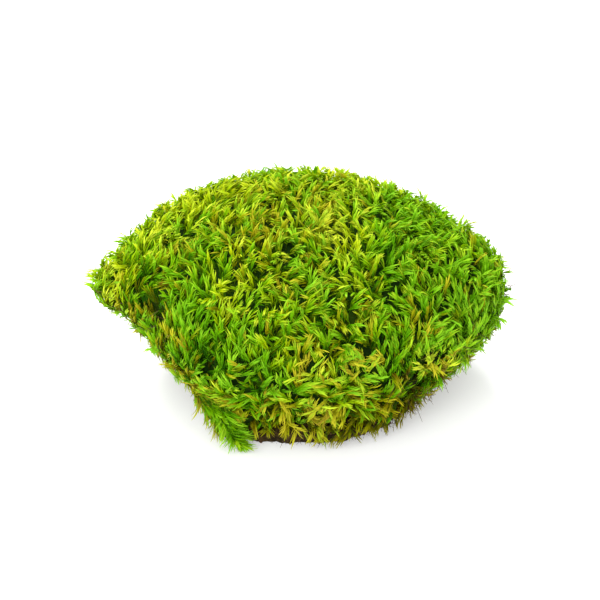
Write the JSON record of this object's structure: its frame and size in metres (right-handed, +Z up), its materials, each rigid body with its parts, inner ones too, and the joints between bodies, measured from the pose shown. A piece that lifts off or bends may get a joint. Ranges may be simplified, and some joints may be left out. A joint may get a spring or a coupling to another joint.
{
  "type": "moss clump",
  "caption": "Loose clump of green cushion moss: a lopsided dome of dense leafy shoots that overhangs a flat brown pad of dead stems, rhizoids and soil.",
  "frame": {"origin": "middle of the clump's box, on the surface it rests on", "axes": "+Z up, +X to the right and +Y away from the viewer as the picture shows it, so the clump's front faces -Y"},
  "size_m": [0.1, 0.08, 0.05],
  "materials": {
    "living_moss": "living moss leaves, moist and slightly glossy, lime at the tips and deep green between the shoots",
    "brown_mat": "matte felt of brown dead stems, rhizoids and clinging soil"
  },
  "bodies": {
    "root": {"moss_cushion": "living_moss", "rhizoid_mat": "brown_mat"}
  },
  "joints": []
}
